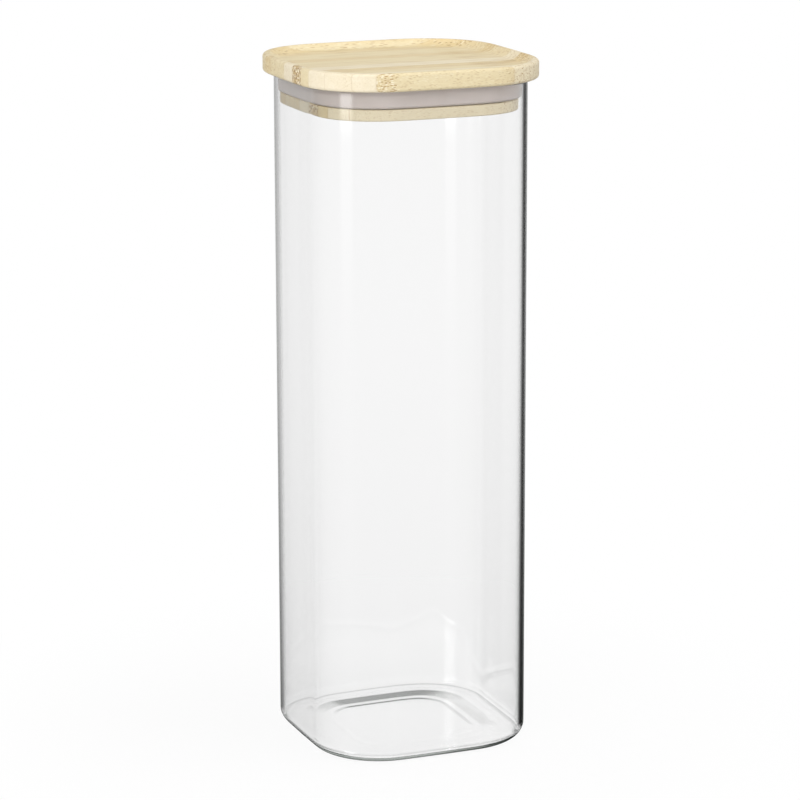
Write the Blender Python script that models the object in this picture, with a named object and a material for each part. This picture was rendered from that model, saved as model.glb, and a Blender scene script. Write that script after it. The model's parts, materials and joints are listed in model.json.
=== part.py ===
"""A tall square storage jar: a glass body, and a bamboo lid whose plug carries a silicone seal.

Metres, +Z up. The origin is the middle of the jar's underside, and the broad face that is
seen from the front looks along -Y. The lid is one block of edge-glued bamboo strips, cut here
along its glue lines, so that each strip is a piece of its own.
"""

import math

import bmesh
import bpy

# Jar body
JAR_WIDTH = 0.0920
JAR_HEIGHT = 0.2730
JAR_CORNER_RADIUS = 0.0300
WALL = 0.0020
FLOOR_THICKNESS = 0.0022
HEEL_RADIUS = 0.0055
INSIDE_HEEL_RADIUS = 0.0015

# Underside of the jar, from the ring it stands on inwards: a long low slope, a level shelf
# and a short second slope. A share of each slope is rounded at either end.
STAND_RING_WIDTH = 0.0037
PUNT_SLOPE_WIDTH = 0.0088
PUNT_SLOPE_RISE = 0.00044
PUNT_SHELF_WIDTH = 0.0017
PUNT_LIP_WIDTH = 0.0021
PUNT_LIP_RISE = 0.00012
SLOPE_ROUNDING_SHARE = 0.15

# Lid plate, with the tray in its top that takes the foot of the next jar
LID_OVERHANG = 0.0040
LID_THICKNESS = 0.0073
LID_CORNER_RADIUS = 0.0324
LID_EDGE_RADIUS = 0.0013
TRAY_RIM_WIDTH = 0.0024
TRAY_DEPTH = 0.0027
TRAY_COVE_RADIUS = 0.0060

# Plug under the plate: a core that the seal grips, and a lip below it
PLUG_CLEARANCE = 0.00165
PLUG_DEPTH = 0.0123
GROOVE_HEIGHT = 0.0077
GROOVE_DEPTH = 0.0036
LIP_EDGE_RADIUS = 0.0006

# Seal in the groove
SEAL_SHOULDER_SETBACK = 0.0010
SEAL_BULGE_DROP = 0.0030
SEAL_TOE_SETBACK = 0.0016
SEAL_TOE_HEIGHT = 0.0012

# Gap between pieces that touch, as modelled
FIT_GAP = 0.0003

# Glue lines across the lid. The shares run from its middle line to the plug's core,
# and past the plug from the lip's edge to the edge of the lid.
CORE_GLUE_SHARES = (-0.89, -0.674, -0.513, -0.294, -0.062, 0.088, 0.221, 0.356, 0.534, 0.712, 0.89)
FRONT_GLUE_SHARES = (0.71, 0.12)
BACK_GLUE_SHARES = (0.20,)

# A corner never gets sharper than this share of the half width, nor rounder than a circle
SOFTEST_SHARE = 0.50
ROUNDEST_SHARE = 0.98

# Steps along the curves
CORNER_STEPS = 14
EDGE_STEPS = 4
HEEL_STEPS = 5

# A corner that lies this near to a glue line is moved onto it
GLUE_LINE_REACH = 0.00002

SHARP_EDGE_ANGLE = math.radians(32)

# Half widths from the middle of the jar to each flat side
JAR_HALF = JAR_WIDTH / 2
BORE_HALF = JAR_HALF - WALL
LIP_HALF = BORE_HALF - PLUG_CLEARANCE
CORE_HALF = LIP_HALF - GROOVE_DEPTH
LID_HALF = JAR_HALF + LID_OVERHANG

# Half lengths of the flat stretch between two corners
JAR_FLAT = JAR_HALF - JAR_CORNER_RADIUS
LID_FLAT = LID_HALF - LID_CORNER_RADIUS


def clear_scene():
    for item in list(bpy.data.objects):
        bpy.data.objects.remove(item)


def finish(name, colour, roughness, transmission=0.0):
    """A plain Principled material."""
    material = bpy.data.materials.new(name)
    material.use_nodes = True
    shader = material.node_tree.nodes["Principled BSDF"]
    shader.inputs["Base Color"].default_value = (*colour, 1.0)
    shader.inputs["Roughness"].default_value = roughness
    shader.inputs["Metallic"].default_value = 0.0
    shader.inputs["Transmission Weight"].default_value = transmission
    return material


def arc(half, height, radius, start, end, steps):
    """Stations on an arc about (half, height), with the angles in degrees from straight outwards."""
    stations = []
    for step in range(steps + 1):
        angle = math.radians(start + (end - start) * step / steps)
        stations.append((half + radius * math.cos(angle), height + radius * math.sin(angle)))
    return stations


def squares(stations, flat):
    """Each station (half width, height) as a rounded square whose sides stay flat for the same length."""
    return [(half, max(half - flat, half * SOFTEST_SHARE), height) for half, height in stations]


def outline(half, radius, height):
    """A level square with round corners, anticlockwise seen from above."""
    radius = min(radius, half * ROUNDEST_SHARE)
    middle = half - radius
    points = []
    for x_side, y_side, start in ((1, 1, 0), (-1, 1, 90), (-1, -1, 180), (1, -1, 270)):
        for step in range(CORNER_STEPS + 1):
            angle = math.radians(start + 90 * step / CORNER_STEPS)
            x = x_side * middle + radius * math.cos(angle)
            y = y_side * middle + radius * math.sin(angle)
            points.append((x, y, height))
    return points


def lofted(rings, looped=False):
    """A closed skin over the outlines: capped at both ends, or looped from the last to the first."""
    mesh = bmesh.new()
    loops = [[mesh.verts.new(point) for point in outline(*ring)] for ring in rings]
    pairs = list(zip(loops, loops[1:]))
    if looped:
        pairs.append((loops[-1], loops[0]))
    for one, other in pairs:
        for i in range(len(one)):
            j = (i + 1) % len(one)
            mesh.faces.new((one[i], one[j], other[j], other[i]))
    if not looped:
        mesh.faces.new(loops[0])
        mesh.faces.new(loops[-1])
    bmesh.ops.recalc_face_normals(mesh, faces=mesh.faces)
    return mesh


def add_piece(name, mesh, material, parent=None):
    """The skin as an object, smooth but for its crisp edges."""
    data = bpy.data.meshes.new(name)
    mesh.to_mesh(data)
    mesh.free()
    data.materials.append(material)
    data.shade_smooth()
    data.set_sharp_from_angle(angle=SHARP_EDGE_ANGLE)
    piece = bpy.data.objects.new(name, data)
    piece.parent = parent
    bpy.context.scene.collection.objects.link(piece)
    return piece


def slope(outer_half, width, height, rise):
    """A straight slope with rounded ends, from its top down and outwards to a half width and height."""
    rounded = SLOPE_ROUNDING_SHARE
    bend = rounded / (1 - rounded) / 2
    ends = ((1, 1), (1 - rounded, 1 - bend), (rounded, bend), (0, 0))
    return [(outer_half - width * inwards, height + rise * up) for inwards, up in ends]


def underside_stations(ring_half):
    """The underside from its raised middle outwards to the ring that the jar stands on."""
    shelf_half = ring_half - PUNT_SLOPE_WIDTH
    lip_half = shelf_half - PUNT_SHELF_WIDTH
    stations = slope(lip_half, PUNT_LIP_WIDTH, PUNT_SLOPE_RISE, PUNT_LIP_RISE)
    return stations + slope(ring_half, PUNT_SLOPE_WIDTH, 0, PUNT_SLOPE_RISE)


def jar_rings():
    """Under the base, up the outside, over the fire-polished rim and down the inside to the floor."""
    heel_half = JAR_HALF - HEEL_RADIUS
    bend = INSIDE_HEEL_RADIUS
    rim = WALL / 2
    stations = underside_stations(heel_half - STAND_RING_WIDTH)
    stations += arc(heel_half, HEEL_RADIUS, HEEL_RADIUS, -90, 0, HEEL_STEPS)
    stations += arc(JAR_HALF - rim, JAR_HEIGHT - rim, rim, 0, 180, 2 * EDGE_STEPS)
    stations += arc(BORE_HALF - bend, FLOOR_THICKNESS + bend, bend, 0, -90, HEEL_STEPS)
    return squares(stations, JAR_FLAT)


def plate_rings():
    """The plate from the middle of its tray over the rim and round the edge to its underside."""
    tray_floor = LID_THICKNESS - TRAY_DEPTH
    cove_turn = math.acos(max(1 - TRAY_DEPTH / TRAY_COVE_RADIUS, -1))
    tray_half = LID_HALF - TRAY_RIM_WIDTH - TRAY_COVE_RADIUS * math.sin(cove_turn)
    cove_end = math.degrees(cove_turn) - 90
    edge_half = LID_HALF - LID_EDGE_RADIUS
    stations = arc(tray_half, tray_floor + TRAY_COVE_RADIUS, TRAY_COVE_RADIUS, -90, cove_end, EDGE_STEPS)
    stations += arc(edge_half, LID_THICKNESS - LID_EDGE_RADIUS, LID_EDGE_RADIUS, 90, 0, EDGE_STEPS)
    stations += arc(edge_half, LID_EDGE_RADIUS, LID_EDGE_RADIUS, 0, -90, EDGE_STEPS)
    return squares(stations, LID_FLAT)


def plug_rings():
    """The plug's core down to the groove's foot, then round the lip to its underside."""
    edge_half = LIP_HALF - LIP_EDGE_RADIUS
    lip_top = -GROOVE_HEIGHT
    stations = [(CORE_HALF, 0), (CORE_HALF, lip_top)]
    stations += arc(edge_half, lip_top - LIP_EDGE_RADIUS, LIP_EDGE_RADIUS, 90, 0, 2)
    stations += arc(edge_half, LIP_EDGE_RADIUS - PLUG_DEPTH, LIP_EDGE_RADIUS, 0, -90, 2)
    return squares(stations, JAR_FLAT)


def seal_rings():
    """The seal's section: its back in the groove, a full bulge to the glass and a rounded toe."""
    back = CORE_HALF + FIT_GAP
    front = BORE_HALF - FIT_GAP
    top = -FIT_GAP
    foot = FIT_GAP - GROOVE_HEIGHT
    stations = [(back, foot), (back, top)]
    for step in range(EDGE_STEPS + 1):
        angle = math.radians(90 * (1 - step / EDGE_STEPS))
        stations.append((
            front - SEAL_SHOULDER_SETBACK * (1 - math.cos(angle)),
            top - (SEAL_BULGE_DROP - FIT_GAP) * (1 - math.sin(angle)),
        ))
    for step in range(EDGE_STEPS + 1):
        angle = math.radians(90 * step / EDGE_STEPS)
        stations.append((
            front - SEAL_TOE_SETBACK * (1 - math.cos(angle)),
            foot + SEAL_TOE_HEIGHT * (1 - math.sin(angle)),
        ))
    return squares(stations, JAR_FLAT)


def glue_lines():
    """Where the lid's block is parted, from its front edge to its back edge."""
    overhang = LID_HALF - LIP_HALF
    front = [-(LIP_HALF + overhang * share) for share in FRONT_GLUE_SHARES]
    core = [CORE_HALF * share for share in CORE_GLUE_SHARES]
    back = [LIP_HALF + overhang * share for share in BACK_GLUE_SHARES]
    return front + core + back


def cut_away(block, line, side):
    """Take off what lies past a glue line, and close the block with one flat face there."""
    bmesh.ops.bisect_plane(
        block,
        geom=[*block.verts, *block.edges, *block.faces],
        dist=GLUE_LINE_REACH,
        plane_co=(0, line, 0),
        plane_no=(0, side, 0),
        clear_outer=True,
    )
    for vert in block.verts:
        if abs(vert.co.y - line) <= GLUE_LINE_REACH:
            vert.co.y = line
    open_edges = [edge for edge in block.edges if edge.is_boundary]
    bmesh.ops.holes_fill(block, edges=open_edges, sides=0)


def add_lid_strips(parent, tones):
    """The lid's block, parted along its glue lines into strips, numbered from the front."""
    block = lofted(plate_rings() + plug_rings())
    lines = glue_lines()
    fronts = [None, *lines]
    backs = [*lines, None]
    for number, (front, back) in enumerate(zip(fronts, backs), start=1):
        strip = block.copy()
        if front is not None:
            cut_away(strip, front, -1)
        if back is not None:
            cut_away(strip, back, 1)
        bmesh.ops.recalc_face_normals(strip, faces=strip.faces)
        add_piece(f"lid_strip_{number:02d}", strip, tones[number % len(tones)], parent)
    block.free()


def main():
    clear_scene()
    glass = finish("glass", (0.95, 0.97, 0.96), 0.02, transmission=1.0)
    silicone = finish("silicone", (0.78, 0.77, 0.78), 0.35)
    tones = [
        finish("bamboo_honey", (0.72, 0.55, 0.31), 0.50),
        finish("bamboo_cream", (0.80, 0.66, 0.43), 0.50),
        finish("bamboo_straw", (0.76, 0.60, 0.36), 0.50),
    ]
    add_piece("glass_jar", lofted(jar_rings()), glass)
    seat = bpy.data.objects.new("lid_seat", None)
    seat.location = (0, 0, JAR_HEIGHT + FIT_GAP)
    bpy.context.scene.collection.objects.link(seat)
    add_piece("seal_ring", lofted(seal_rings(), looped=True), silicone, seat)
    add_lid_strips(seat, tones)


main()
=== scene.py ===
# %% [markdown]
# # A square glass storage jar with a bamboo lid
#
# The jar is one piece of clear glass, tall and square with round corners. Its lid is cut
# from a board of glued bamboo strips: a plate with a shallow tray in its top, and a plug
# below that carries a silicone seal.
#
# The CAD model is loaded first and stays where it is. Finer pieces are then made around it,
# in the same frame: metres, +Z up, the origin under the middle of the jar, and the front
# looking along -Y.

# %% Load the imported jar
import json
import math

import bmesh
import bpy
from mathutils import Matrix, Vector

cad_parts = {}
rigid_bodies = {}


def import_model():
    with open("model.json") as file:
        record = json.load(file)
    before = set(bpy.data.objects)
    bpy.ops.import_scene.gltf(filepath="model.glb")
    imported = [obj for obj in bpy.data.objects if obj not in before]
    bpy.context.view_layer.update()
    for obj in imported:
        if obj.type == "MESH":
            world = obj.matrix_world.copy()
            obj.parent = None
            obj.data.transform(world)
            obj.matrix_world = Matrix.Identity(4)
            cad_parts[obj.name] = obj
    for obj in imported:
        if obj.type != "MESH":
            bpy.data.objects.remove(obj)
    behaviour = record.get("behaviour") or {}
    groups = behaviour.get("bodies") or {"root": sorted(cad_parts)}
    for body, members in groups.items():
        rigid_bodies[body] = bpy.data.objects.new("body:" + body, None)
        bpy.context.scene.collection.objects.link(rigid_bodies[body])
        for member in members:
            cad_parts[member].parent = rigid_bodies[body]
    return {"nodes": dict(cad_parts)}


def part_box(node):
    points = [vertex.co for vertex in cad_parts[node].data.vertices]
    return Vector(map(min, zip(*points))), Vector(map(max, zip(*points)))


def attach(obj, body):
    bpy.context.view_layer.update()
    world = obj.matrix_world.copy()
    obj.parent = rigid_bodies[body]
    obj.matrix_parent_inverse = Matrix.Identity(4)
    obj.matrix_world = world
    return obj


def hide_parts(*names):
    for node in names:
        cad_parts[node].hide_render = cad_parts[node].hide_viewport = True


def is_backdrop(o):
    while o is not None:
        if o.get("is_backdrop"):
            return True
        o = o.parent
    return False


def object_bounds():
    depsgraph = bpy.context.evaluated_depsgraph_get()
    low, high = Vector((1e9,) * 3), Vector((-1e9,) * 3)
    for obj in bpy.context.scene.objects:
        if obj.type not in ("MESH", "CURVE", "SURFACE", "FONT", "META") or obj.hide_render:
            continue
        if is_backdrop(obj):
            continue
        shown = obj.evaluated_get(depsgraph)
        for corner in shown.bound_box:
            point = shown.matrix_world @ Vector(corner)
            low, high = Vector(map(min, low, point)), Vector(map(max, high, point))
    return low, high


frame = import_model()
cad_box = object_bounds()
strip_names = sorted(name for name in frame["nodes"] if name.startswith("lid_strip"))
print("loaded", len(frame["nodes"]), "pieces,", len(strip_names), "of them bamboo strips")

# %% [markdown]
# ## Sizes
#
# The outer sizes are read from the CAD pieces themselves, so they can't drift away from
# them. A box doesn't say how thick a wall is or how round an edge is, so those few numbers
# are repeated from the CAD source.

# %% Read the outer sizes, and name the rest
jar_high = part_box("glass_jar")[1]
seal_low, seal_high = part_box("seal_ring")
lid_low, lid_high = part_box(strip_names[len(strip_names) // 2])

# The glass. Its underside rises inwards from the standing ring in a slope, a level shelf and
# a second, smaller slope, the lip
JAR_HALF = jar_high.x
JAR_HEIGHT = jar_high.z
JAR_FLAT = 0.0160
WALL = 0.0020
FLOOR_THICKNESS = 0.0022
HEEL_RADIUS = 0.0055
INSIDE_HEEL_RADIUS = 0.0015
STAND_RING_WIDTH = 0.0037
PUNT_SLOPE_WIDTH = 0.0088
PUNT_SLOPE_RISE = 0.00044
PUNT_SHELF_WIDTH = 0.0017
PUNT_LIP_WIDTH = 0.0021
PUNT_LIP_RISE = 0.00012
SLOPE_ROUNDING_SHARE = 0.15

# The lid's plate and the tray in its top
LID_HALF = lid_high.x
LID_FLAT = 0.0176
LID_THICKNESS = 0.0073
LID_EDGE_RADIUS = 0.0013
TRAY_RIM_WIDTH = 0.0024
TRAY_DEPTH = 0.0027
TRAY_COVE_RADIUS = 0.0060

# The plug under the plate, with a groove for the seal and a lip below it
PLUG_CLEARANCE = 0.00165
GROOVE_HEIGHT = 0.0077
GROOVE_DEPTH = 0.0036
LIP_EDGE_RADIUS = 0.0006
FIT_GAP = 0.0003

# The seal: a shoulder at its top, a bulge against the glass and a toe at its foot
SEAL_SHOULDER_SETBACK = 0.0010
SEAL_BULGE_DROP = 0.0030
SEAL_TOE_SETBACK = 0.0016
SEAL_TOE_HEIGHT = 0.0012

BORE_HALF = JAR_HALF - WALL
LIP_HALF = BORE_HALF - PLUG_CLEARANCE
CORE_HALF = LIP_HALF - GROOVE_DEPTH
SEAT = JAR_HEIGHT + FIT_GAP
print(f"jar {2000 * JAR_HALF:.1f} mm wide and {1000 * JAR_HEIGHT:.1f} mm high")
print(f"lid {2000 * LID_HALF:.1f} mm wide")

# %% [markdown]
# ## A way to write node trees
#
# Shape rules and finishes are both sums that run through nodes. Adding a Math node by hand
# for each sum hides what is being worked out. The two small classes below let a sum be
# written as a sum: a `Value` holds a socket, and each `+` or `*` on it adds one node.

# %% Values that add their own Math nodes
class Value:
    """One socket of a tree, to calculate with."""

    def __init__(self, nodes, socket):
        self.nodes = nodes
        self.socket = socket

    def maths(self, operation, *others, clamp=False):
        return self.nodes.sum(operation, self, *others, clamp=clamp)

    def __add__(self, other):
        return self.maths("ADD", other)

    def __sub__(self, other):
        return self.maths("SUBTRACT", other)

    def __rsub__(self, other):
        return self.nodes.sum("SUBTRACT", other, self)

    def __mul__(self, other):
        return self.maths("MULTIPLY", other)

    def __truediv__(self, other):
        return self.maths("DIVIDE", other)

    def __rtruediv__(self, other):
        return self.nodes.sum("DIVIDE", other, self)

    def __pow__(self, other):
        return self.maths("POWER", other)

    __radd__ = __add__
    __rmul__ = __mul__


class Nodes:
    """Adds nodes to one tree."""

    def __init__(self, tree):
        self.tree = tree

    def add(self, kind, settings=None, values=None):
        """A node of this kind: its settings first, then a number or a Value for each socket."""
        node = self.tree.nodes.new(kind)
        for name, setting in (settings or {}).items():
            if name == "stops":
                self.set_stops(node.color_ramp, setting)
            else:
                setattr(node, name, setting)
        for key, value in (values or {}).items():
            named = [s for s in node.inputs if s.enabled and s.name == key]
            socket = named[0] if named else node.inputs[key]
            if isinstance(value, Value):
                self.tree.links.new(value.socket, socket)
            else:
                socket.default_value = value
        return node

    def get(self, kind, settings=None, values=None, output=0):
        """The same, for its output."""
        node = self.add(kind, settings, values)
        named = [s for s in node.outputs if s.enabled and s.name == output]
        return Value(self, named[0] if named else node.outputs[output])

    def sum(self, operation, *values, clamp=False):
        settings = {"operation": operation, "use_clamp": clamp}
        return self.get("ShaderNodeMath", settings, dict(enumerate(values)))

    def set_stops(self, ramp, stops):
        while len(ramp.elements) > len(stops):
            ramp.elements.remove(ramp.elements[-1])
        while len(ramp.elements) < len(stops):
            ramp.elements.new(1.0)
        for element, (place, colour) in zip(ramp.elements, stops):
            element.position = place
            element.color = colour


def parted(nodes, vector):
    """The three numbers of a vector or a colour."""
    parts = nodes.add("ShaderNodeSeparateXYZ", None, {0: vector})
    return [Value(nodes, parts.outputs[i]) for i in range(3)]


print("a Value adds, subtracts, multiplies, divides and raises to a power")

# %% [markdown]
# ## The rounded square
#
# The glass, the seal and the lid are all the same shape seen from above: a square with
# round corners and sides that bow out by a few tenths of a millimetre, as blown glass
# does. The shape follows a rule, so Geometry Nodes sweep a section round it. For each
# direction the rule gives a point whose surface faces exactly that way, and a section
# further in stays parallel. A Bevel on a box would give flat sides that break at the
# corners, and clear glass shows such a break as a line.
#
# Each point of a section says how far out it lies in the middle of a side, half how long
# the side runs flat there, and its height.

# %% Build the sweep tool
MERGE_DISTANCE = 1e-6


def sweep_tool():
    """Geometry Nodes that carry a section round a rounded square."""
    tree = bpy.data.node_groups.new("rounded_square_sweep", "GeometryNodeTree")
    face = tree.interface
    face.new_socket("Section", in_out="INPUT", socket_type="NodeSocketGeometry")
    for name, kind in (("Steps Round", "Int"), ("Side Softness", "Float"), ("Finish", "Material")):
        face.new_socket(name, in_out="INPUT", socket_type="NodeSocket" + kind)
    face.new_socket("Piece", in_out="OUTPUT", socket_type="NodeSocketGeometry")
    nodes = Nodes(tree)
    given = nodes.add("NodeGroupInput")
    section, steps, soft, finish = (Value(nodes, given.outputs[i]) for i in range(4))

    count = nodes.get(
        "GeometryNodeAttributeDomainSize", {"component": "MESH"}, {"Geometry": section}, "Point Count",
    )
    size = {"Vertices X": steps + 1, "Vertices Y": count}
    sheet = nodes.get("GeometryNodeMeshGrid", None, size, "Mesh")
    index = nodes.get("GeometryNodeInputIndex")
    step = nodes.get("FunctionNodeIntegerMath", {"operation": "DIVIDE_FLOOR"}, {0: index, 1: count})
    place = nodes.get("FunctionNodeIntegerMath", {"operation": "MODULO"}, {0: index, 1: count})
    point = nodes.get(
        "GeometryNodeSampleIndex", {"data_type": "FLOAT_VECTOR", "domain": "POINT"},
        {"Geometry": section, "Value": nodes.get("GeometryNodeInputPosition"), "Index": place},
    )
    half, flat, height = parted(nodes, point)

    turn = step / steps * math.tau
    across, along = turn.maths("COSINE"), turn.maths("SINE")
    soft_across = (across * across + soft * soft).maths("SQRT")
    soft_along = (along * along + soft * soft).maths("SQRT")
    middle = (soft * soft + 1).maths("SQRT") + soft
    out = half + flat * (soft_across + soft_along - middle)
    aside = flat * (across * along / soft_along - across * along / soft_across)
    where = nodes.get(
        "ShaderNodeCombineXYZ", None,
        {"X": out * across - aside * along, "Y": out * along + aside * across, "Z": height},
    )
    placed = nodes.get("GeometryNodeSetPosition", None, {"Geometry": sheet, "Position": where})
    joined = nodes.get(
        "GeometryNodeMergeByDistance", None, {"Geometry": placed, "Distance": MERGE_DISTANCE},
    )
    real = nodes.get("GeometryNodeRealizeInstances", None, {"Geometry": joined})
    finished = nodes.get("GeometryNodeSetMaterial", None, {"Geometry": real, "Material": finish})
    nodes.add("NodeGroupOutput", None, {"Piece": finished})
    return tree


SWEEP = sweep_tool()
print("the sweep tool has", len(SWEEP.nodes), "nodes")

# %% [markdown]
# A tool is run by a modifier on an object whose mesh is the section. The result is made a
# plain mesh, its open ends are closed with one flat face each, and only then is it a piece.

# %% Run the sweep and close its ends
STEPS_ROUND = 240
JAR_SOFTNESS = 0.015
LID_SOFTNESS = 0.03
SHARP_EDGE = math.radians(32)


def long_flat(flat, softness):
    """The flat length that keeps the corners where they are, once the sides are softened."""
    corner = math.sqrt(2) * math.sqrt(1 + 2 * softness**2)
    side = math.sqrt(1 + softness**2) + softness
    return flat * (math.sqrt(2) - 1) / (corner - side)


def swept(name, stations, flat, softness, finish):
    """Stations of (half width, height) carried round the rounded square, as a bmesh.

    A station may carry a third number, its own flat length: in the lid, the plug has the
    jar's and the plate another.
    """
    points = []
    for half, height, *own_flat in stations:
        side = own_flat[0] if own_flat else flat
        points.append((half, long_flat(min(side, half / 2), softness), height))
    mesh = bpy.data.meshes.new(name)
    mesh.from_pydata(points, [(i, i + 1) for i in range(len(points) - 1)], [])
    section = bpy.data.objects.new(name, mesh)
    bpy.context.scene.collection.objects.link(section)
    modifier = section.modifiers.new("sweep", "NODES")
    modifier.node_group = SWEEP
    items = [item for item in SWEEP.interface.items_tree if item.in_out == "INPUT"]
    inputs = {item.name: item.identifier for item in items}
    modifier[inputs["Steps Round"]] = STEPS_ROUND
    modifier[inputs["Side Softness"]] = softness
    modifier[inputs["Finish"]] = finish
    graph = bpy.context.evaluated_depsgraph_get()
    made = bpy.data.meshes.new_from_object(section.evaluated_get(graph), depsgraph=graph)
    bpy.data.objects.remove(section)
    skin = bmesh.new()
    skin.from_mesh(made)
    bpy.data.meshes.remove(made)
    open_edges = [edge for edge in skin.edges if edge.is_boundary]
    bmesh.ops.holes_fill(skin, edges=open_edges, sides=0)
    bmesh.ops.recalc_face_normals(skin, faces=skin.faces)
    if skin.calc_volume(signed=True) < 0:
        bmesh.ops.reverse_faces(skin, faces=skin.faces)
    return skin


def as_piece(name, skin, finish, body, replaced):
    """A bmesh as a finished piece that rides on a CAD body and stands for one of its nodes."""
    mesh = bpy.data.meshes.new(name)
    skin.to_mesh(mesh)
    skin.free()
    mesh.materials.clear()
    mesh.materials.append(finish)
    mesh.shade_smooth()
    mesh.set_sharp_from_angle(angle=SHARP_EDGE)
    piece = bpy.data.objects.new(name, mesh)
    bpy.context.scene.collection.objects.link(piece)
    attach(piece, body)
    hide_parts(replaced)
    return piece


def arc(half, height, radius, start, end, steps):
    """Stations on an arc about (half, height), the angles in degrees from straight outwards."""
    turns = [math.radians(start + (end - start) * step / steps) for step in range(steps + 1)]
    return [(half + radius * math.cos(turn), height + radius * math.sin(turn)) for turn in turns]


def straight(start, end, margin, longest):
    """Stations between two ends, with one close to each end so that the shading stays even."""
    length = math.dist(start, end)
    count = max(1, math.ceil((length - 2 * margin) / longest))
    shares = [margin / length + (1 - 2 * margin / length) * i / count for i in range(count + 1)]
    return [tuple(a + (b - a) * share for a, b in zip(start, end)) for share in shares]


print(f"corners keep their place: a flat of {1000 * JAR_FLAT:.1f} mm")
print(f"becomes {1000 * long_flat(JAR_FLAT, JAR_SOFTNESS):.2f} mm once the sides are softened")

# %% [markdown]
# ## Helpers for the finishes
#
# Every finish asks for the same few things: a number that follows another one, a mix of
# two colours or of two surfaces, where on the piece a point lies, which way it faces, and
# what kind of ray has met it. Each gets a short name here, so that a finish reads as what
# it is made of.

# %% Name what every finish asks for
def new_finish(name):
    material = bpy.data.materials.new(name)
    material.use_nodes = True
    material.node_tree.nodes.clear()
    return material, Nodes(material.node_tree)


def ramped(nodes, value, low, high, at_low, at_high):
    """A number that follows a value smoothly from one end of a range to the other."""
    return nodes.get(
        "ShaderNodeMapRange", {"interpolation_type": "SMOOTHSTEP"},
        {"Value": value, "From Min": low, "From Max": high, "To Min": at_low, "To Max": at_high},
    )


def above(nodes, value, low, high):
    """0 under low, rising softly to 1 over high."""
    return ramped(nodes, value, low, high, 0.0, 1.0)


def below(nodes, value, low, high):
    """1 under low, falling softly to 0 over high."""
    return ramped(nodes, value, low, high, 1.0, 0.0)


def mixed(nodes, factor, first, second):
    """The first colour, turning into the second one as the factor grows."""
    values = {"Factor": factor, "A": first, "B": second}
    return nodes.get("ShaderNodeMix", {"data_type": "RGBA"}, values, "Result")


def mixed_surface(nodes, factor, first, second):
    """The same for two whole surfaces."""
    return nodes.get("ShaderNodeMixShader", None, {0: factor, 1: first, 2: second})


def own_place(nodes):
    """Object coordinates: metres from the piece's own origin, so a pattern rides with it."""
    return nodes.get("ShaderNodeTexCoord", None, None, "Object")


def surface_normal(nodes):
    return parted(nodes, nodes.get("ShaderNodeNewGeometry", None, None, "Normal"))


def path_values(nodes, *names):
    """What the render knows of the ray that meets this surface."""
    path = nodes.add("ShaderNodeLightPath")
    return [Value(nodes, path.outputs[name]) for name in names]


print("a finish can ramp and mix, and ask for its place, its normal and the ray")

# %% [markdown]
# ## The glass
#
# The body is blown borosilicate, 2 mm thick. It stands on a ring inside its round heel,
# the base rises a little inside that in two low slopes, and the rim is melted round. Its
# section runs from the raised middle of the underside out over the standing ring, up the
# wall, over the rim, and down the inside to the floor again, so the wall is a real wall that
# bends light on both faces. The slopes draw the two dark strokes in the base.
#
# The finish is plain clear glass. Its dark outline is light that the wall mirrors inside
# itself, once from the inner face, and sends out to a darker part of the room. Two places,
# where one looks through the most glass, get a painted shade that darkens them further: the
# very edge, which Layer Weight tells, and the heel just above the table.
#
# Light that stays caught in the glass would need many more mirrorings than a render
# follows, and would come out black or speckled. So after the third one the glass shows a
# painted glow, an emission of steady tone in place of that light: dark at the back, paler
# near the left and darkest near the right. Lamps shine through the glass with plain
# shadows, which leaves out the bright spots that bent light would make and keeps the
# render clean.

# %% The clear glass finish
GLASS_IOR = 1.47
CLEAR = (1.0, 1.0, 1.0, 1.0)
SHADOW_TINT = (0.94, 0.95, 0.945, 1.0)

# Facing is 0 where one looks straight at the glass, and 1 along it
EVEN_BLEND = 0.5
# The colours of the painted shade at the very edge and at the heel
EDGE_PAINTED_SHADE = (0.45, 0.47, 0.46, 1.0)
EDGE_FACING = (0.72, 0.90)
HEEL_PAINTED_SHADE = (0.20, 0.215, 0.21, 1.0)
HEEL_FACING = (0.50, 0.80)
HEEL_SHADE_HEIGHT = (0.0010, 0.0020)
# The underside's level parts stay clear: there a normal's upward share is over this
LEVEL_NORMAL = (0.975, 0.99)

# Light caught in the glass, painted in as a glow, and where along Y and X its tone changes
MOST_MIRRORINGS = 3.5
CAUGHT_AT_BACK = (0.20, 0.22, 0.205, 1.0)
CAUGHT_NEAR_LEFT = (0.44, 0.47, 0.45, 1.0)
CAUGHT_NEAR_RIGHT = (0.07, 0.08, 0.075, 1.0)
NEAR_HALF = (-0.010, 0.010)
LEFT_PART = (-0.002, 0.020)
RIGHT_PART = (0.018, 0.032)


def glass_painted_shade(nodes, z):
    """Clear, but for a painted shade at the very edge and at the heel."""
    facing = nodes.get("ShaderNodeLayerWeight", None, {"Blend": EVEN_BLEND}, "Facing")
    edge_starts, edge_full = EDGE_FACING
    stops = [(0.0, CLEAR), (edge_starts, CLEAR), (edge_full, EDGE_PAINTED_SHADE), (1.0, EDGE_PAINTED_SHADE)]
    painted_tint = nodes.get("ShaderNodeValToRGB", {"stops": stops}, {"Fac": facing})
    upward = surface_normal(nodes)[2].maths("ABSOLUTE")
    heel = below(nodes, z, *HEEL_SHADE_HEIGHT) * above(nodes, facing, *HEEL_FACING)
    return mixed(nodes, heel * below(nodes, upward, *LEVEL_NORMAL), painted_tint, HEEL_PAINTED_SHADE)


def caught_light(nodes, x, y):
    """A painted glow in the steady tone of light that is mirrored too often to follow."""
    at_back, near_left, near_right = (
        nodes.get("ShaderNodeEmission", None, {"Color": light, "Strength": 1.0})
        for light in (CAUGHT_AT_BACK, CAUGHT_NEAR_LEFT, CAUGHT_NEAR_RIGHT)
    )
    near = below(nodes, y, *NEAR_HALF)
    caught = mixed_surface(nodes, near * below(nodes, x, *LEFT_PART), at_back, near_left)
    return mixed_surface(nodes, near * above(nodes, x, *RIGHT_PART), caught, near_right)


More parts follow.
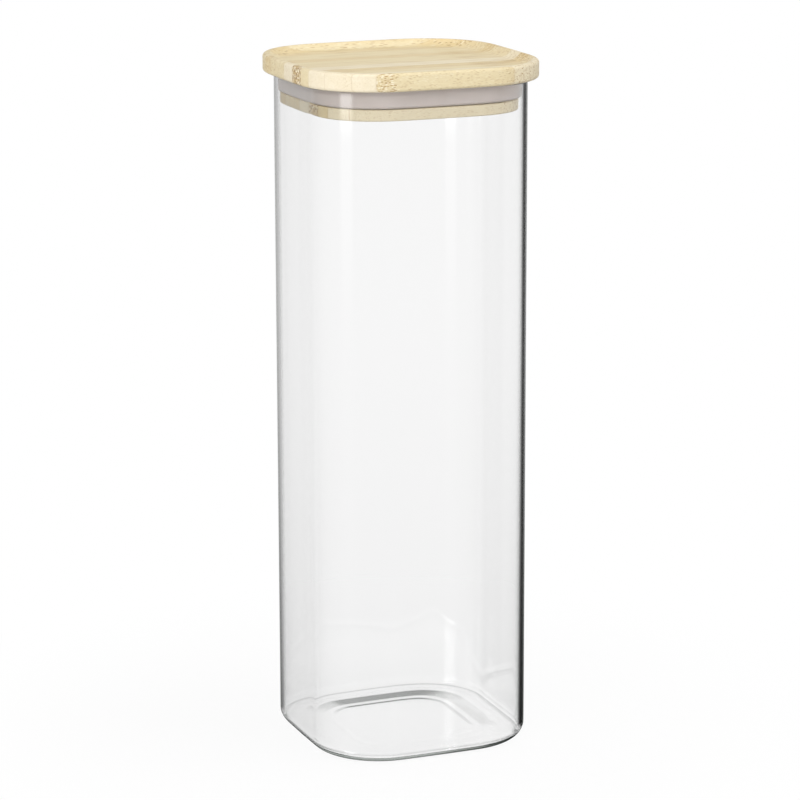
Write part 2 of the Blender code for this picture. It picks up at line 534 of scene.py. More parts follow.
def clear_glass():
    material, nodes = new_finish("clear_glass")
    x, y, z = parted(nodes, own_place(nodes))
    painted_tint = glass_painted_shade(nodes, z)
    glass = nodes.get(
        "ShaderNodeBsdfPrincipled", None,
        {"Base Color": painted_tint, "Roughness": 0.0, "IOR": GLASS_IOR, "Transmission Weight": 1.0},
    )
    lamps_pass = nodes.get("ShaderNodeBsdfTransparent", None, {"Color": SHADOW_TINT})
    shadow, mirrorings = path_values(nodes, "Is Shadow Ray", "Glossy Depth")
    surface = mixed_surface(nodes, shadow, glass, lamps_pass)
    caught = mirrorings.maths("GREATER_THAN", MOST_MIRRORINGS)
    surface = mixed_surface(nodes, caught, surface, caught_light(nodes, x, y))
    nodes.add("ShaderNodeOutputMaterial", None, {"Surface": surface})
    return material


GLASS = clear_glass()
print("glass finish:", len(GLASS.node_tree.nodes), "nodes")

# %% Sweep the glass body
HEEL_STEPS = 14
RIM_STEPS = 12
EDGE_MARGIN = 0.0004
WALL_SPACING = 0.020


def slope(outer_half, width, height, rise):
    """A straight slope with rounded ends, from its top down and outwards."""
    rounded = SLOPE_ROUNDING_SHARE
    bend = rounded / (1 - rounded) / 2
    ends = ((1, 1), (1 - rounded, 1 - bend), (rounded, bend), (0, 0))
    return [(outer_half - width * inwards, height + rise * up) for inwards, up in ends]


def glass_section():
    bend = INSIDE_HEEL_RADIUS
    rim = WALL / 2
    heel_half, rim_height = JAR_HALF - HEEL_RADIUS, JAR_HEIGHT - rim
    ring_half = heel_half - STAND_RING_WIDTH
    lip_half = ring_half - PUNT_SLOPE_WIDTH - PUNT_SHELF_WIDTH
    under = slope(lip_half, PUNT_LIP_WIDTH, PUNT_SLOPE_RISE, PUNT_LIP_RISE)
    under += slope(ring_half, PUNT_SLOPE_WIDTH, 0.0, PUNT_SLOPE_RISE) + [(heel_half - EDGE_MARGIN, 0.0)]
    heel = arc(heel_half, HEEL_RADIUS, HEEL_RADIUS, -90, 0, HEEL_STEPS)
    outside = straight((JAR_HALF, HEEL_RADIUS), (JAR_HALF, rim_height), EDGE_MARGIN, WALL_SPACING)
    lip = arc(JAR_HALF - rim, rim_height, rim, 0, 180, RIM_STEPS)
    low = FLOOR_THICKNESS + bend
    inside = straight((BORE_HALF, rim_height), (BORE_HALF, low), EDGE_MARGIN, WALL_SPACING)
    corner = arc(BORE_HALF - bend, low, bend, 0, -90, HEEL_STEPS)
    floor = [(BORE_HALF - bend - EDGE_MARGIN, FLOOR_THICKNESS), (lip_half, FLOOR_THICKNESS)]
    return under + heel + outside + lip + inside + corner + floor


glass = as_piece(
    "glass_body", swept("glass_body", glass_section(), JAR_FLAT, JAR_SOFTNESS, GLASS),
    GLASS, "jar", "glass_jar",
)
print("glass body:", len(glass.data.polygons), "faces")

# %% [markdown]
# ## The seal
#
# A milky silicone ring sits in the plug's groove and bulges out to the glass. Light goes a
# little way into silicone before it comes back, so the finish has some subsurface
# scattering, and a fine uneven bloom where it was moulded.

# %% The silicone finish
SILICONE_DEEP = (0.58, 0.51, 0.475, 1.0)
SILICONE_BLOOM = (0.67, 0.60, 0.57, 1.0)
SILICONE_IOR = 1.41
BLOOMS_PER_METRE = 90.0
GRAINS_PER_METRE = 2600.0
BLOOM_DETAIL, GRAIN_DETAIL = 4.0, 2.0
SILICONE_ROUGHNESS, SILICONE_ROUGHNESS_CHANGE = 0.30, 0.16
SILICONE_BUMP = {"Strength": 0.15, "Distance": 0.0001}
SILICONE_DEPTH = {
    "Subsurface Weight": 0.35, "Subsurface Radius": (1.0, 0.9, 0.85), "Subsurface Scale": 0.0015,
}


def milky_silicone():
    material, nodes = new_finish("milky_silicone")
    place = own_place(nodes)
    bloom, grain = (
        nodes.get("ShaderNodeTexNoise", None, {"Vector": place, "Scale": scale, "Detail": detail}, "Fac")
        for scale, detail in ((BLOOMS_PER_METRE, BLOOM_DETAIL), (GRAINS_PER_METRE, GRAIN_DETAIL))
    )
    bump = nodes.get("ShaderNodeBump", None, {**SILICONE_BUMP, "Height": grain})
    colour = mixed(nodes, bloom, SILICONE_DEEP, SILICONE_BLOOM)
    roughness = bloom * SILICONE_ROUGHNESS_CHANGE + SILICONE_ROUGHNESS
    silicone = nodes.get(
        "ShaderNodeBsdfPrincipled", None,
        {"Base Color": colour, "Roughness": roughness, "IOR": SILICONE_IOR, "Normal": bump,
         **SILICONE_DEPTH},
    )
    nodes.add("ShaderNodeOutputMaterial", None, {"Surface": silicone})
    return material


SILICONE = milky_silicone()
print("silicone finish:", len(SILICONE.node_tree.nodes), "nodes")

# %% Sweep the seal
SEAL_STEPS = 10


def seal_section():
    """The back in the groove, then over the shoulder, down the bulge and round the toe."""
    back, front = CORE_HALF + FIT_GAP, BORE_HALF - FIT_GAP
    top, foot = seal_high.z, seal_low.z
    stations = [(back, foot), (back, top)]
    for step in range(SEAL_STEPS + 1):
        turn = math.radians(90 * (1 - step / SEAL_STEPS))
        drop = (SEAL_BULGE_DROP - FIT_GAP) * (1 - math.sin(turn))
        stations.append((front - SEAL_SHOULDER_SETBACK * (1 - math.cos(turn)), top - drop))
    for step in range(SEAL_STEPS + 1):
        turn = math.radians(90 * step / SEAL_STEPS)
        rise = SEAL_TOE_HEIGHT * (1 - math.sin(turn))
        stations.append((front - SEAL_TOE_SETBACK * (1 - math.cos(turn)), foot + rise))
    return stations + stations[:1]


seal = as_piece(
    "silicone_seal", swept("silicone_seal", seal_section(), JAR_FLAT, LID_SOFTNESS, SILICONE),
    SILICONE, "lid", "seal_ring",
)
print("seal:", len(seal.data.polygons), "faces")

# %% [markdown]
# ## The bamboo
#
# Bamboo is a bundle of straight fibres. Cut across, the bundles are brown dots, crowded
# near the outside of the stem and sparse near its inside; cut along, the same bundles are
# long fine streaks. So the finish isn't painted on: it is one solid pattern of fibres that
# run along X, and wherever the shape cuts it, it shows dots or streaks by itself.
#
# Every strip comes from another stem, so each has its own tone, its own number of bundles
# and its own place in the pattern. Where the fibres of a strip wander, a cut along them
# shows short dashes; where they run straight, it shows long streaks. The bundles are darker
# at a strip's ends, where the cut goes across them. The ground between them is deeper at
# the ends, and a cream strip's is deeper in the tray. On the plug the ground is deeper too,
# a painted shade for the shade that the plug sits in under the plate, inside the jar. A
# strip is a little darker along its glue lines.
#
# The pattern is worked out in millimetres, on a place that sways a little from side to
# side. Voronoi cells are the bundles, and each cell's own random number says whether it is
# a dark mark, a pale fleck or nothing.

# %% Name the bamboo's tones and sizes
# A tone is two colours of the ground, the pale one and the deep one
CREAM = ((0.90, 0.81, 0.64), (0.80, 0.70, 0.50))
STRAW = ((0.83, 0.73, 0.49), (0.73, 0.60, 0.36))
HONEY = ((0.82, 0.69, 0.43), (0.68, 0.53, 0.28))
FLECK = (0.90, 0.83, 0.66)
BROWN = (0.33, 0.18, 0.07)
TAN = (0.50, 0.34, 0.16)

# Sizes of the pattern: how often it changes along and across a strip
MM = 1000.0
SWAYS_ALONG, SWAYS_ACROSS = 22, 90
FINE_ALONG, FINE_ACROSS = 45, 2.6
BROAD_ALONG, BROAD_ACROSS = 9, 0.45
SWAY_DETAIL, FINE_DETAIL, BROAD_DETAIL = 1.0, 5.0, 2.0
FINE_HARSHNESS = 0.6
SWAY = 2.2
SEED_SHIFT = 3.7
CELL_RANDOMNESS = 0.9
LEFT_END_REACH = 0.0025
RIGHT_END = (0.022, 0.032)
BAMBOO_IOR = 1.45
BAMBOO_ROUGHNESS, BAMBOO_ROUGHNESS_CHANGE = 0.42, 0.18
BAMBOO_BUMP = {"Strength": 0.25, "Distance": 0.0002}
BUMP_OF_FINE, BUMP_OF_DOTS = 0.6, 0.4

# How uneven the ground is, and how much deeper at the ends, on the plug (a painted shade) and in a cream
# tray
GROUND_CONTRAST = 1.3
DEEPER_LEFT, DEEPER_RIGHT, PLUG_PAINTED_SHADE, DEEPER_TRAY = 0.25, 1.1, 0.55, 0.35
PLUG_TOP = (SEAT, SEAT + 0.0005)
UPWARD = (0.6, 0.9)

# A cell is a mark where its random number is low, a fleck where it is high
MARK_KIND, MARK_OF_BROAD, MARK_OF_FINE = (0.34, 0.50), 1.2, 0.8
FLECK_KIND, FLECK_STRENGTH = (0.62, 0.80), 0.8
DOT_SIZE, DOT_GROWTH = (0.20, 0.48), 0.08
GLUE_WIDTH = (0.00003, 0.00022)
GLUE_ON_PLUG = 0.55
GLUE_ON_PLATE = 0.20
print("tones: cream, straw and honey; bundles: brown or tan, with pale flecks")

# %% The bamboo finish
def noise(nodes, place, detail, output="Fac", **more):
    values = {"Vector": place, "Scale": 1.0, "Detail": detail, **more}
    return nodes.get("ShaderNodeTexNoise", None, values, output)


def point(nodes, x, y, z):
    return nodes.get("ShaderNodeCombineXYZ", None, {"X": x, "Y": y, "Z": z})


def clamped(value):
    return value.maths("ADD", 0.0, clamp=True)


def opaque(colour):
    return (*colour, 1.0)


def bamboo(name, look, left_end, seed, glue_lines):
    """One strip's finish: its look, where it lies in the pattern, and where it is glued."""
    (pale, deep), bundle, (dark_left, dark_middle, dark_right), crowding, wander = look
    material, nodes = new_finish(name)
    x, y, z = parted(nodes, own_place(nodes))

    # The place in the stem, in millimetres, which sways along the strip
    sway_place = point(nodes, x * SWAYS_ALONG + seed, y * SWAYS_ACROSS, z * SWAYS_ACROSS)
    sway = parted(nodes, noise(nodes, sway_place, SWAY_DETAIL, "Color"))
    grown_y = y * MM + (sway[0] - 0.5) * SWAY
    grown_z = z * MM + (sway[1] - 0.5) * SWAY + seed * SEED_SHIFT

    # How dark the bundles are here
    at_left = ramped(
        nodes, x, left_end - LEFT_END_REACH, left_end + LEFT_END_REACH, dark_left - dark_middle, 0.0,
    )
    at_right = ramped(nodes, x, *RIGHT_END, 0.0, dark_right - dark_middle)
    dark = at_left + at_right + dark_middle

    # The bundles, and a fine and a broad unevenness of the wood between them
    across = point(nodes, grown_y, grown_z, x * wander + seed)
    cells = nodes.add(
        "ShaderNodeTexVoronoi", {"voronoi_dimensions": "3D"},
        {"Vector": across, "Scale": crowding, "Randomness": CELL_RANDOMNESS},
    )
    kind = parted(nodes, Value(nodes, cells.outputs["Color"]))[0]
    dots = below(nodes, Value(nodes, cells.outputs["Distance"]) - dark * DOT_GROWTH, *DOT_SIZE)
    fine_place = point(nodes, x * FINE_ALONG, grown_y * FINE_ACROSS, grown_z * FINE_ACROSS)
    fine = noise(nodes, fine_place, FINE_DETAIL, Roughness=FINE_HARSHNESS)
    broad_place = point(nodes, x * BROAD_ALONG + seed, grown_y * BROAD_ACROSS, grown_z * BROAD_ACROSS)
    broad = noise(nodes, broad_place, BROAD_DETAIL)

    # The ground, then flecks, marks and glue lines on it
    # The plug's deeper ground is a painted shade: the plug sits in shade under the plate, inside the jar
    plug = ramped(nodes, z, *PLUG_TOP, PLUG_PAINTED_SHADE, 0.0)
    tray_change = DEEPER_TRAY if (pale, deep) == CREAM else 0.0
    tray = ramped(nodes, surface_normal(nodes)[2], *UPWARD, 0.0, tray_change)
    uneven = (fine - 0.5) * GROUND_CONTRAST + broad
    share = uneven - at_left * DEEPER_LEFT - at_right * DEEPER_RIGHT - plug - tray
    ground = mixed(nodes, clamped(share), opaque(deep), opaque(pale))
    flecks = above(nodes, kind, *FLECK_KIND) * dots * (dark * FLECK_STRENGTH)
    flecked = mixed(nodes, flecks, ground, opaque(FLECK))
    inked = (broad * MARK_OF_BROAD + fine * MARK_OF_FINE) * dark
    marks = below(nodes, kind, *MARK_KIND) * dots * inked
    marked = mixed(nodes, clamped(marks), flecked, opaque(bundle))
    in_front, behind = ((y - line).maths("ABSOLUTE") for line in glue_lines)
    shows = ramped(nodes, z, *PLUG_TOP, GLUE_ON_PLUG, GLUE_ON_PLATE)
    glue = below(nodes, in_front.maths("MINIMUM", behind), *GLUE_WIDTH) * shows
    height = fine * BUMP_OF_FINE - dots * BUMP_OF_DOTS
    bump = nodes.get("ShaderNodeBump", None, {**BAMBOO_BUMP, "Height": height})
    wood = nodes.get(
        "ShaderNodeBsdfPrincipled", None,
        {"Base Color": mixed(nodes, glue, marked, opaque(TAN)), "IOR": BAMBOO_IOR,
         "Roughness": fine * BAMBOO_ROUGHNESS_CHANGE + BAMBOO_ROUGHNESS, "Normal": bump},
    )
    nodes.add("ShaderNodeOutputMaterial", None, {"Surface": wood})
    return material


print("a strip's finish is made with the strip, below")

# %% [markdown]
# ## The lid
#
# The board of glued strips is machined as one block: first the section of plate, tray,
# plug and groove is swept round the rounded square, then the block is parted along the
# glue lines of the CAD strips. A parted strip is closed with a flat face on each cut, so
# every strip is a solid of its own.

# %% Sweep the lid's block
EDGE_STEPS = 8
LIP_STEPS = 5


def lid_section():
    """From the edge of the tray's floor over the rim, down to the groove and round the lip."""
    tray_floor = SEAT + LID_THICKNESS - TRAY_DEPTH
    cove_turn = math.acos(1 - TRAY_DEPTH / TRAY_COVE_RADIUS)
    tray_half = LID_HALF - TRAY_RIM_WIDTH - TRAY_COVE_RADIUS * math.sin(cove_turn)
    edge_half = LID_HALF - LID_EDGE_RADIUS
    cove_end = math.degrees(cove_turn) - 90
    plate = [(tray_half - EDGE_MARGIN, tray_floor)]
    plate += arc(tray_half, tray_floor + TRAY_COVE_RADIUS, TRAY_COVE_RADIUS, -90, cove_end, EDGE_STEPS)
    plate += arc(edge_half, SEAT + LID_THICKNESS - LID_EDGE_RADIUS, LID_EDGE_RADIUS, 90, 0, EDGE_STEPS)
    plate += arc(edge_half, SEAT + LID_EDGE_RADIUS, LID_EDGE_RADIUS, 0, -90, EDGE_STEPS)
    lip_top, lip_foot = SEAT - GROOVE_HEIGHT, lid_low.z
    lip_half = LIP_HALF - LIP_EDGE_RADIUS
    plug = [(CORE_HALF, SEAT), (CORE_HALF, lip_top)]
    plug += arc(lip_half, lip_top - LIP_EDGE_RADIUS, LIP_EDGE_RADIUS, 90, 0, LIP_STEPS)
    plug += arc(lip_half, lip_foot + LIP_EDGE_RADIUS, LIP_EDGE_RADIUS, 0, -90, LIP_STEPS)
    return [(half, height, LID_FLAT) for half, height in plate] + [
        (half, height, JAR_FLAT) for half, height in plug
    ]


# The block only borrows a finish: each strip gets its own below
block = swept("lid_block", lid_section(), LID_FLAT, LID_SOFTNESS, SILICONE)
print("the lid's block:", len(block.faces), "faces,", f"{1e6 * block.calc_volume():.1f} cm3")

# %% Part the block into strips
LINE_REACH = 0.00002

# For each strip: tones, bundle colour, how dark its bundles are at the left end, in the
# middle and at the right end, how crowded they are, and how much its fibres wander
STRIP_LOOKS = {
    1: (STRAW, TAN, (1.90, 0.50, 1.05), 2.50, 250),
    2: (CREAM, TAN, (0.10, 0.18, 1.10), 2.50, 200),
    3: (CREAM, TAN, (0.14, 0.35, 0.95), 2.30, 240),
    4: (CREAM, TAN, (0.14, 0.18, 0.90), 1.40, 50),
    5: (STRAW, TAN, (0.22, 0.30, 0.90), 1.40, 60),
    6: (HONEY, BROWN, (2.70, 0.40, 0.90), 2.00, 60),
    7: (CREAM, TAN, (0.30, 0.30, 0.50), 1.20, 50),
    8: (STRAW, TAN, (0.40, 0.40, 0.60), 1.30, 60),
    9: (STRAW, TAN, (0.40, 0.35, 0.60), 1.20, 40),
    10: (STRAW, TAN, (0.70, 0.40, 0.60), 1.60, 60),
    11: (HONEY, TAN, (0.80, 0.35, 0.70), 1.60, 50),
    12: (STRAW, TAN, (0.80, 0.30, 0.60), 1.60, 60),
    13: (STRAW, TAN, (0.40, 0.40, 0.80), 1.40, 50),
    14: (HONEY, BROWN, (0.60, 0.45, 0.60), 1.50, 60),
    15: (STRAW, TAN, (0.80, 0.55, 0.80), 1.60, 220),
}

# Where the cut across a strip's fibres begins at its left end. The round corner of the plate
# cuts the first strip further in
SIDE_END = -0.0405
FIRST_STRIP_END = -0.0215

# A strip's place in the pattern, and a glue line where there is none
SEED_STEP = 7.3
FAR_OFF = 1.0


def cut_away(piece, line, side):
    """Take off what lies past a glue line, and close the piece with one flat face there."""
    bmesh.ops.bisect_plane(
        piece, geom=[*piece.verts, *piece.edges, *piece.faces], dist=LINE_REACH,
        plane_co=(0, line, 0), plane_no=(0, side, 0), clear_outer=True,
    )
    for vert in piece.verts:
        if abs(vert.co.y - line) <= LINE_REACH:
            vert.co.y = line
    open_edges = [edge for edge in piece.edges if edge.is_boundary]
    bmesh.ops.holes_fill(piece, edges=open_edges, sides=0)


for name in strip_names:
    number = int(name.split("_")[-1])
    low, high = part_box(name)
    glued_in_front = low.y > -LID_HALF + LINE_REACH
    glued_behind = high.y < LID_HALF - LINE_REACH
    glue_lines = (low.y if glued_in_front else -FAR_OFF, high.y if glued_behind else FAR_OFF)
    look = STRIP_LOOKS[number]
    left_end = FIRST_STRIP_END if number == 1 else SIDE_END
    finish = bamboo(f"bamboo_{number:02d}", look, left_end, number * SEED_STEP, glue_lines)
    strip = block.copy()
    if glued_in_front:
        cut_away(strip, low.y, -1)
    if glued_behind:
        cut_away(strip, high.y, 1)
    bmesh.ops.recalc_face_normals(strip, faces=strip.faces)
    as_piece(f"bamboo_strip_{number:02d}", strip, finish, "lid", name)
block.free()
print("strips:", len(strip_names))

# %% [markdown]
# ## The camera
#
# The view is from a little left of the front and above, with a long lens, so that the
# jar's upright edges stay nearly parallel.

# %% Set up the camera
LENS_MM = 149.17
SENSOR_MM = 36.0
NEAREST = 0.05
CAMERA_AZIMUTH = math.radians(-21.945)
CAMERA_ELEVATION = math.radians(13.382)
CAMERA_ROLL = math.radians(-0.128)
CAMERA_DISTANCE = 1.3545
LOOK_HEIGHT = 0.1393
ASIDE = -0.00021

back = Vector((
    math.sin(CAMERA_AZIMUTH) * math.cos(CAMERA_ELEVATION),
    -math.cos(CAMERA_AZIMUTH) * math.cos(CAMERA_ELEVATION),
    math.sin(CAMERA_ELEVATION),
))
level = Vector((math.cos(CAMERA_AZIMUTH), math.sin(CAMERA_AZIMUTH), 0.0))
upright = back.cross(level)
side = level * math.cos(CAMERA_ROLL) + upright * math.sin(CAMERA_ROLL)
top = upright * math.cos(CAMERA_ROLL) - level * math.sin(CAMERA_ROLL)
camera = bpy.data.objects.new("camera", bpy.data.cameras.new("camera"))
camera.data.lens = LENS_MM
camera.data.sensor_width = SENSOR_MM
camera.data.clip_start = NEAREST
stand = Matrix((side, top, back)).transposed().to_4x4()
stand.translation = Vector((0.0, 0.0, LOOK_HEIGHT)) + back * CAMERA_DISTANCE + level * ASIDE
camera.matrix_world = stand
bpy.context.scene.collection.objects.link(camera)
bpy.context.scene.camera = camera
print("camera", f"{CAMERA_DISTANCE:.2f} m away, {LENS_MM:.0f} mm lens")

# %% [markdown]
# ## The studio
#
# Clear glass shows mostly what stands round it. The room is white for the camera. It is
# white too for what is seen straight through the glass, but only up to some 20 degrees above
# level, and dark overhead, so the bends of the base are drawn.
#
# A ray that was mirrored once, which Glossy Depth tells, meets a dimmer room. It has a soft
# lamp on the left for the long highlight, pale parts at the back and on the right, and a
# dark corner between them that draws the outlines. It darkens towards the table, is bright
# overhead, and has a darker gap low at the back right.
#
# What the light of the room does to the lid and the seal is plain: one even level from all
# sides. Only what reaches them through the glass is stronger from the right and the front.

# %% Name the parts of the room
WHITE = (1.0, 1.0, 1.0, 1.0)
ROOM_LIGHT = 0.50

# Directions in degrees. Azimuth is 0 straight behind the jar, 90 on its right and negative
# on its left. A band is its middle, half its width, and its soft edge
LAMP_SIDE, LAMP_HEIGHT = (-109.0, 10.0, 8.0), (5.0, 40.0, 15.0)
BACK_LEFT, BACK_RIGHT = (-23.0, 19.0, 6.0), (18.0, 9.0, 8.0)
RIGHT_SIDE = (90.0, 26.0, 6.0)
DARK_CORNER = (49.0, 8.5, 6.0)
GAP_SIDE, GAP_HEIGHT = (18.0, 14.0, 8.0), (4.0, 7.0, 4.0)

# Elevations between which something changes
TABLE_ENDS = (-68.0, -58.0)
DARK_ENDS = (-22.5, -17.5)
WALLS_RISE = (-20.0, -11.0)
BACK_FADES = (-17.0, -11.0)
LAMP_LIFTS, LAMP_FULL = (-13.0, -8.5), (-9.0, -8.0)
OVERHEAD = (-4.0, 4.0)
OVERHEAD_FADES = (24.0, 40.0)
WHITE_ENDS = (18.0, 40.0)

# Light of each part, where 1 is white, and what it gains or loses higher up
WALL_LIGHT, WALL_GAIN = 0.10, 0.36
LEFT_LIGHT, LEFT_LOSS = 0.25, 0.13
BACK_LIGHT, BACK_LOSS = 0.40, 0.10
RIGHT_LIGHT, RIGHT_GAIN = 0.19, 0.10
CORNER_LOSS = 0.95
TABLE_LIGHT = 0.9
OVERHEAD_LIGHT, OVERHEAD_LOSS = 0.95, 0.7
GAP_LOSS = 0.80
LAMP_LOW, LAMP_MIDDLE, LAMP_HIGH = 0.08, 0.5, 3.0
SEEN_THROUGH_LOSS = 0.9

# Light that reaches lid and seal through the glass: more from the right and from the front
FROM_RIGHT, FROM_FRONT = (-0.7, 0.3), (0.60, 0.90)
MORE_FROM_RIGHT, MORE_FROM_FRONT, LESS_ALL_ROUND = 1.65, 0.8, 0.42
print(f"the lamp stands at {LAMP_SIDE[0]:.0f} degrees and the dark corner at {DARK_CORNER[0]:.0f}")

# %% The room
def between(nodes, value, middle, half, soft):
    """1 within half of the middle, fading to 0 over a soft edge."""
    return below(nodes, (value - middle).maths("ABSOLUTE"), half - soft / 2, half + soft / 2)


def mirrored_room(nodes, azimuth, elevation):
    """The room as light meets it that the glass has mirrored."""
    rising = above(nodes, elevation, *WALLS_RISE)
    high_up = above(nodes, elevation, *BACK_FADES)
    pale_back = (
        between(nodes, azimuth, *BACK_LEFT) * (LEFT_LIGHT - high_up * LEFT_LOSS)
        + between(nodes, azimuth, *BACK_RIGHT) * (BACK_LIGHT - high_up * BACK_LOSS)
    )
    right_side = between(nodes, azimuth, *RIGHT_SIDE) * (RIGHT_LIGHT + rising * RIGHT_GAIN)
    corner = 1 - between(nodes, azimuth, *DARK_CORNER) * CORNER_LOSS
    walls = (rising * WALL_GAIN + WALL_LIGHT + pale_back + right_side) * corner
    overhead = above(nodes, elevation, *OVERHEAD)
    fading = 1 - above(nodes, elevation, *OVERHEAD_FADES) * OVERHEAD_LOSS
    gap = between(nodes, azimuth, *GAP_SIDE) * between(nodes, elevation, *GAP_HEIGHT)
    table = 1 - above(nodes, elevation, *TABLE_ENDS)
    lamp = between(nodes, azimuth, *LAMP_SIDE) * between(nodes, elevation, *LAMP_HEIGHT)
    lamp_light = (
        above(nodes, elevation, *LAMP_LIFTS) * LAMP_MIDDLE
        + above(nodes, elevation, *LAMP_FULL) * LAMP_HIGH + LAMP_LOW
    )
    return (
        walls * (1 - overhead) * above(nodes, elevation, *DARK_ENDS) + table * TABLE_LIGHT
        + overhead * fading * (OVERHEAD_LIGHT - gap * GAP_LOSS) + lamp * lamp_light
    )


def at_most_one(count):
    return count.maths("MINIMUM", 1.0)


def studio_room():
    room = bpy.data.worlds.new("studio")
    room.use_nodes = True
    room.node_tree.nodes.clear()
    nodes = Nodes(room.node_tree)
    x, y, z = parted(nodes, nodes.get("ShaderNodeTexCoord", None, None, "Generated"))
    azimuth = x.maths("ARCTAN2", y) * math.degrees(1)
    elevation = z.maths("ARCSINE") * math.degrees(1)
    camera_ray, glossy, through, mirrorings, scatterings = path_values(
        nodes, "Is Camera Ray", "Is Glossy Ray", "Is Transmission Ray", "Glossy Depth", "Diffuse Depth",
    )
    mirrored, scattered = at_most_one(mirrorings), at_most_one(scatterings)
    direct = 1 - scattered
    behind_glass = through * (1 - mirrored) * direct
    beside = glossy.maths("MAXIMUM", through) * mirrored * direct
    seen_through = 1 - above(nodes, elevation, *WHITE_ENDS) * SEEN_THROUGH_LOSS
    uneven = (
        above(nodes, x, *FROM_RIGHT) * MORE_FROM_RIGHT
        + above(nodes, 0 - y, *FROM_FRONT) * MORE_FROM_FRONT - LESS_ALL_ROUND
    )
    room_light = (1 + scattered * through * uneven) * ROOM_LIGHT
    strength = camera_ray + (1 - camera_ray) * (
        behind_glass * seen_through + beside * mirrored_room(nodes, azimuth, elevation)
        + (1 - behind_glass.maths("MAXIMUM", beside)) * room_light
    )
    light = nodes.get("ShaderNodeBackground", None, {"Color": WHITE, "Strength": strength})
    nodes.add("ShaderNodeOutputWorld", None, {"Surface": light})
    bpy.context.scene.world = room


studio_room()
bpy.context.scene.view_settings.view_transform = "Standard"
print("room light", ROOM_LIGHT)

# %% [markdown]
# The floor is pale and fades into the white room; close to the jar it keeps a soft shadow.
# Seen through the glass it has two dark places that bent light draws on a real table, and
# that plain shadows leave out: a thin ring of contact under the heel, and the narrow gap
# under the far side of the base.
#
# Colours go to the picture by the Standard view transform, so that white stays white.

# %% The floor
FLOOR_RADIUS = 0.5
FLOOR_SIDES = 96
FLOOR_DROP = 0.0002
FLOOR_SHARE = 0.11
FLOOR_FADES = (0.055, 0.22)
FLOOR_PAINT = (0.88, 0.88, 0.88, 1.0)
DARK_PAINT = (0.05, 0.05, 0.05, 1.0)

CONTACT_ROUNDNESS = 3.4
CONTACT_HALF = 0.0452
CONTACT_WIDTH = 0.0010
CONTACT_SHADE = 0.30
GAP_FACING = (0.80, 0.86)
GAP_REACH = (0.040, 0.044)
GAP_FAR_SIDE = (0.016, 0.030)
GAP_SHADE = 0.78


def floor_shade(nodes, place, behind_glass):
    """The contact ring and the gap under the far side, which show only through the glass."""
    x, y, _ = parted(nodes, place)
    across, along = x.maths("ABSOLUTE"), y.maths("ABSOLUTE")
    reach = (across**CONTACT_ROUNDNESS + along**CONTACT_ROUNDNESS) ** (1 / CONTACT_ROUNDNESS)
    contact = between(nodes, reach, CONTACT_HALF, CONTACT_WIDTH, 2 * CONTACT_WIDTH) * behind_glass
    facing = nodes.get("ShaderNodeLayerWeight", None, {"Blend": EVEN_BLEND}, "Facing")
    gap = above(nodes, facing, *GAP_FACING) * (1 - above(nodes, reach, *GAP_REACH)) * behind_glass
    gap = gap * above(nodes, y, *GAP_FAR_SIDE)
    return (contact * CONTACT_SHADE).maths("MAXIMUM", gap * GAP_SHADE)


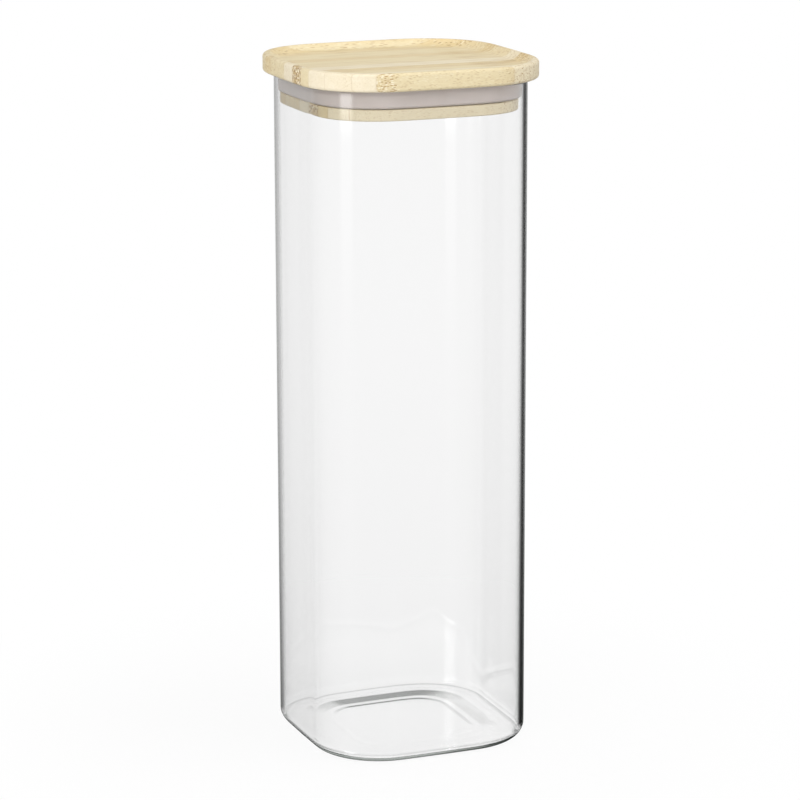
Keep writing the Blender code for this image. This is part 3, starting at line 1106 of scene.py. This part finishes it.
def floor_finish():
    """Its middle shows the real shadow, and its rim fades into the room."""
    material, nodes = new_finish("pale_floor")
    place = own_place(nodes)
    away = nodes.get("ShaderNodeVectorMath", {"operation": "LENGTH"}, {0: place}, "Value")
    kept = ramped(nodes, away, *FLOOR_FADES, FLOOR_SHARE, 0.0)
    camera_ray, through, mirrorings, scatterings = path_values(
        nodes, "Is Camera Ray", "Is Transmission Ray", "Glossy Depth", "Diffuse Depth",
    )
    behind_glass = through * (1 - at_most_one(scatterings))
    seen = camera_ray.maths("MAXIMUM", behind_glass)
    paint = nodes.get("ShaderNodeBsdfDiffuse", None, {"Color": FLOOR_PAINT})
    glow = nodes.get("ShaderNodeEmission", None, {"Color": WHITE, "Strength": 1.0})
    dark = nodes.get("ShaderNodeBsdfDiffuse", None, {"Color": DARK_PAINT})
    let_by = nodes.get("ShaderNodeBsdfTransparent", None, {"Color": WHITE})
    pale = mixed_surface(nodes, seen * (1 - kept), paint, glow)
    shaded = mixed_surface(nodes, floor_shade(nodes, place, behind_glass), pale, dark)
    surface = mixed_surface(nodes, through * at_most_one(mirrorings), shaded, let_by)
    nodes.add("ShaderNodeOutputMaterial", None, {"Surface": surface})
    return material


disc = bmesh.new()
bmesh.ops.create_circle(disc, cap_ends=True, segments=FLOOR_SIDES, radius=FLOOR_RADIUS)
floor_mesh = bpy.data.meshes.new("floor")
disc.to_mesh(floor_mesh)
disc.free()
floor_mesh.materials.append(floor_finish())
floor = bpy.data.objects.new("floor", floor_mesh)
floor.location.z = -FLOOR_DROP
floor.visible_glossy = False
bpy.context.scene.collection.objects.link(floor)
floor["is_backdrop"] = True
print("the floor keeps", f"{FLOOR_SHARE:.0%} of its shadow")

# %% [markdown]
# A large soft lamp hangs over the jar, and two stand in front, the stronger one on the left.
# With the room's own light they bring a surface that faces them to about its written colour.

# %% The lamps
LAMP_SIZE = 0.9
LAMP_AIM = Vector((0.0, 0.0, 0.15))
LAMPS = {
    "lamp_left": ((-1.25, -1.1, 0.75), 18.0),
    "lamp_right": ((0.9, -1.5, 1.1), 2.0),
    "lamp_above": ((0.7, -0.4, 1.5), 10.0),
}


def soft_lamp(name, place, power):
    lamp = bpy.data.lights.new(name, "AREA")
    lamp.shape = "DISK"
    lamp.size = LAMP_SIZE
    lamp.energy = power
    stand = bpy.data.objects.new(name, lamp)
    stand.location = place
    stand.rotation_euler = (LAMP_AIM - Vector(place)).to_track_quat("-Z", "Y").to_euler()
    stand.visible_glossy = False
    stand.visible_transmission = False
    bpy.context.scene.collection.objects.link(stand)


for name, (place, power) in LAMPS.items():
    soft_lamp(name, place, power)
print("lamps:", list(LAMPS))

# %% [markdown]
# ## The size
#
# The dressed jar has to stay the size of the CAD jar, so both boxes are written down.

# %% Print both boxes
drawn_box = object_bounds()
for name, (low, high) in (("CAD", cad_box), ("drawn", drawn_box)):
    print(name, "box in mm:", [round(1000 * (b - a), 2) for a, b in zip(low, high)])
